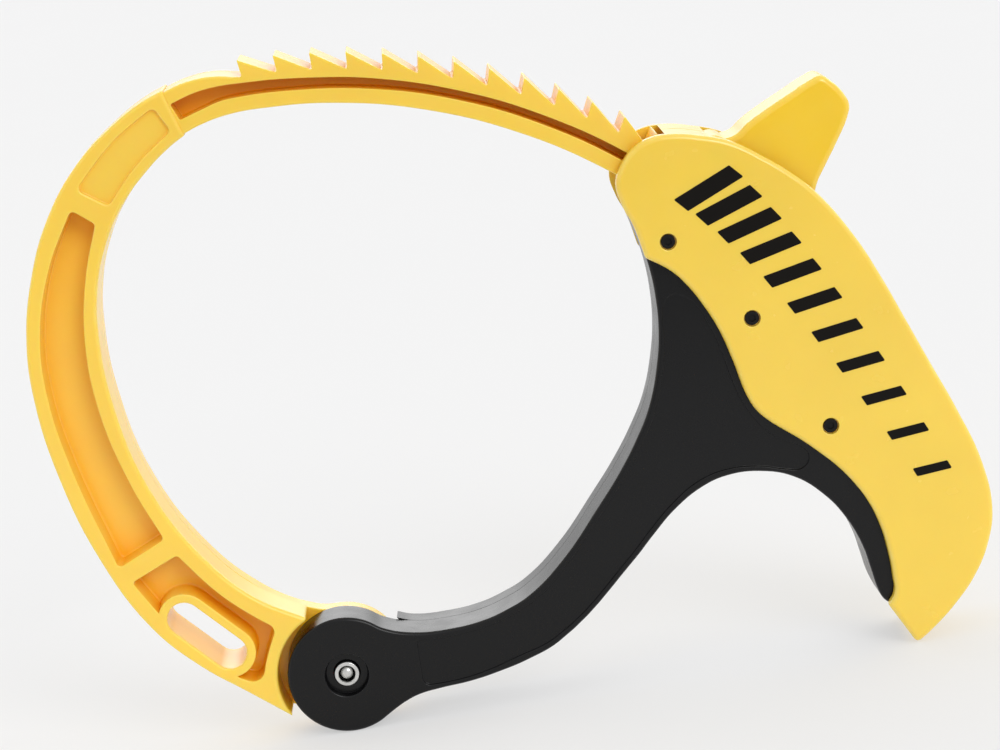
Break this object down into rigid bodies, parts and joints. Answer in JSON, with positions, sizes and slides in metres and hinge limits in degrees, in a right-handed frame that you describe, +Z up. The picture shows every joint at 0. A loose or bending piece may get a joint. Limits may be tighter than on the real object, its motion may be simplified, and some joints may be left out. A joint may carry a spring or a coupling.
{
  "type": "ratcheting cable clamp",
  "caption": "Hand clamp with a toothed yellow C-jaw pivoted on a black arm, a covered handle with a finger arch and a thumb release lever.",
  "frame": {"origin": "bottom centre of the bounding box, on the surface that the boss and the handle's tip stand on", "axes": "+Z up, +X from the jaw towards the handle, -Y out of the front face that carries the screw heads"},
  "size_m": [0.2338, 0.0246, 0.1738],
  "materials": {
    "jaw": "moulded, semi-gloss yellow",
    "frame": "moulded, satin black",
    "cover": "moulded, semi-gloss yellow",
    "lever": "moulded, semi-gloss yellow",
    "steel": "bright turned steel",
    "spring": "drawn spring wire",
    "black_screw": "black oxide"
  },
  "bodies": {
    "frame_body": {"frame": "frame", "cover_front": "cover", "cover_rear": "cover", "lever_pin": "steel", "lever_spring": "spring", "pivot_barrel": "steel", "pivot_screw": "steel", "pivot_washer": "steel", "cover_screw_1": "black_screw", "cover_screw_2": "black_screw", "cover_screw_3": "black_screw", "cover_nut_1": "steel", "cover_nut_2": "steel", "cover_nut_3": "steel"},
    "jaw_body": {"jaw": "jaw"},
    "lever_body": {"lever": "lever"}
  },
  "joints": [
    {"name": "jaw_pivot", "type": "hinge", "parent": "frame_body", "child": "jaw_body", "pos_m": [-0.05194, 0, 0.0152], "axis": [0, 1, 0], "range_deg": [-57.78, 28.89]},
    {"name": "lever_pivot", "type": "hinge", "parent": "frame_body", "child": "lever_body", "pos_m": [0.05998, 0, 0.13273], "axis": [0, -1, 0], "range_deg": [-11, 14], "stiffness_Nm_per_rad": 0.05}
  ]
}
